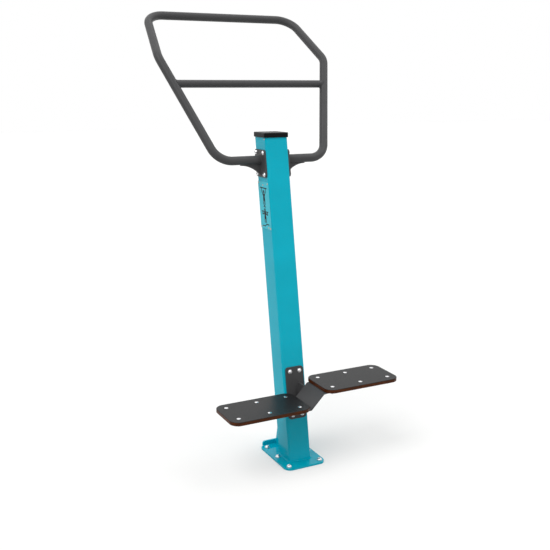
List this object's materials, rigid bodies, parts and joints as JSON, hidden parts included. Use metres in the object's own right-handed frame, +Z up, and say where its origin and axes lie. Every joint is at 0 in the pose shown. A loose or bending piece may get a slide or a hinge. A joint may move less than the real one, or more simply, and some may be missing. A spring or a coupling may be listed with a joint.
{
  "type": "pull-up station",
  "caption": "Outdoor pull-up bar station: leaning square steel post on an anchored base plate, a bent tube hand frame with a cross bar at the top and stepping boards at different heights",
  "frame": {"origin": "On the ground under the base plate, at the point where the leaning post's centre line meets the ground", "axes": "+X runs along the stepping boards towards the higher one, +Y points away from the standing user, the way the post and the hand frame lean, and +Z is up"},
  "size_m": [0.9632, 1.1463, 2.2002],
  "materials": {
    "teal_paint": "glossy powder coat",
    "grey_paint": "matt powder coat",
    "black_plastic": "moulded, lightly textured",
    "board": "dark anti-slip skin on a red-brown core",
    "stainless": "bright zinc or stainless",
    "pale_teal_paint": "satin lacquer",
    "copper_rivets": "plain"
  },
  "bodies": {
    "root": {"base_plate": "teal_paint", "rear_ribs": "teal_paint", "post_tube": "teal_paint", "post_cap": "black_plastic", "anchor_washers": "stainless", "anchor_dome_nuts": "stainless", "frame_lower_left": "grey_paint", "frame_lower_right": "grey_paint", "frame_side_left": "grey_paint", "frame_side_right": "grey_paint", "frame_grip_bar": "grey_paint", "frame_cross_bar": "grey_paint", "left_flange": "grey_paint", "right_flange": "grey_paint", "left_gusset": "grey_paint", "right_gusset": "grey_paint", "flange_bolts": "stainless", "flange_washers": "stainless", "flange_rivet_nuts": "stainless", "step_bracket": "grey_paint", "step_webs": "grey_paint", "step_carrier": "grey_paint", "wing_ribs": "grey_paint", "left_tread": "board", "right_tread": "board", "tread_bolts": "stainless", "tread_washers": "stainless", "tread_nuts": "stainless", "bracket_bolts": "stainless", "bracket_washers": "stainless", "bracket_rivet_nuts": "stainless", "info_plate": "pale_teal_paint", "info_rivets": "copper_rivets"}
  },
  "joints": []
}
